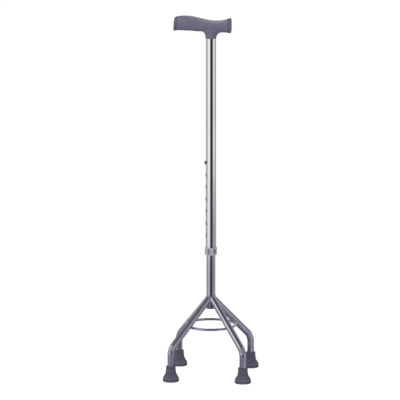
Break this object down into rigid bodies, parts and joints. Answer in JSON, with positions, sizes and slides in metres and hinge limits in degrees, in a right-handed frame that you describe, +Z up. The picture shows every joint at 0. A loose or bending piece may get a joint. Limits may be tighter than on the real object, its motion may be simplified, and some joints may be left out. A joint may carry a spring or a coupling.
{
  "type": "quad cane",
  "caption": "Walking cane with a curved T handle on a telescoping plated shaft with a snap button and lock ring, over a splayed tube base with rubber tips.",
  "frame": {"origin": "on the floor under the shaft, midway between the feet", "axes": "+Z up along the shaft, +X along the handle to its short nose end, -Y the front"},
  "size_m": [0.1824, 0.1824, 0.7521],
  "materials": {
    "shaft_chrome": "bright plated tube",
    "leg_chrome": "bright plated tube, a little darker",
    "grip_plastic": "satin moulded grey",
    "collar_plastic": "smooth moulded light grey",
    "button_steel": "dark steel",
    "spring_steel": "bright strip",
    "white_nylon": "natural nylon",
    "dark_plug": "moulded dark grey",
    "tip_rubber": "matt grey rubber",
    "zinc_steel": "zinc plated"
  },
  "bodies": {
    "base": {"lower_tube": "leg_chrome", "guide_bush": "white_nylon", "button_spring": "spring_steel", "stem_plug": "dark_plug", "front_left_leg": "leg_chrome", "front_right_leg": "leg_chrome", "rear_right_leg": "leg_chrome", "rear_left_leg": "leg_chrome", "leg_tie_ring": "leg_chrome", "front_left_tip": "tip_rubber", "front_right_tip": "tip_rubber", "rear_right_tip": "tip_rubber", "rear_left_tip": "tip_rubber", "front_left_washer": "zinc_steel", "front_right_washer": "zinc_steel", "rear_right_washer": "zinc_steel", "rear_left_washer": "zinc_steel"},
    "upper_shaft": {"upper_tube": "shaft_chrome", "tube_collet": "white_nylon", "handle": "grip_plastic", "handle_screw": "zinc_steel"},
    "button": {"snap_button": "button_steel"},
    "lock": {"lock_ring": "collar_plastic"}
  },
  "joints": [
    {"name": "height_adjust", "type": "slide", "parent": "base", "child": "upper_shaft", "axis": [0, 0, 1], "range_m": [0, 0.1524]},
    {"name": "button_press", "type": "slide", "parent": "base", "child": "button", "axis": [0.866, 0.5, 0], "range_m": [0, 0.0051], "stiffness_N_per_m": 1200, "springref_m": -0.002, "deforming": ["button_spring"]},
    {"name": "lock_ring_turn", "type": "hinge", "parent": "upper_shaft", "child": "lock", "pos_m": [0, 0, 0.2602], "axis": [0, 0, -1], "range_deg": [0, 180]}
  ]
}
